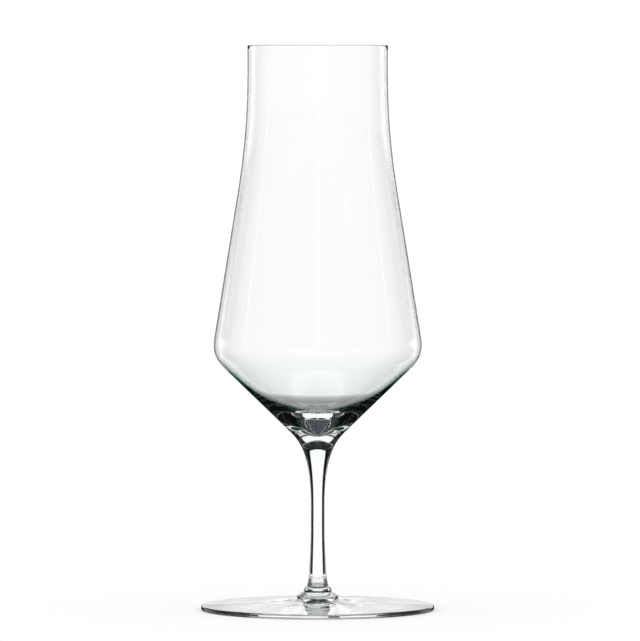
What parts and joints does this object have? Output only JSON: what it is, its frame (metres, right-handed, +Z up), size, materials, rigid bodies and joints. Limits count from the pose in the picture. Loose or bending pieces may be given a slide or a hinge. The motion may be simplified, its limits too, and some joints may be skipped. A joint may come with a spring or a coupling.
{
  "type": "spirits glass",
  "caption": "Stemmed spirits glass in clear crystal: tall tapering bowl with a conical base, slim waisted stem with a small collar, and a thin round foot.",
  "frame": {"origin": "centre of the foot's underside, on the surface that the glass stands on", "axes": "+Z up along the axis of the glass, towards the mouth; round about Z, so X and Y are alike"},
  "size_m": [0.0764, 0.0764, 0.185],
  "materials": {
    "foot": "clear, fire-polished, faintly wavy on top",
    "foot_collar": "clear, fire-polished, ringed",
    "stem": "clear, drawn, fire-polished",
    "bowl": "clear, blown, fire-polished, faint green in thick glass"
  },
  "bodies": {
    "root": {"foot": "foot", "foot_collar": "foot_collar", "stem": "stem", "bowl": "bowl"}
  },
  "joints": []
}
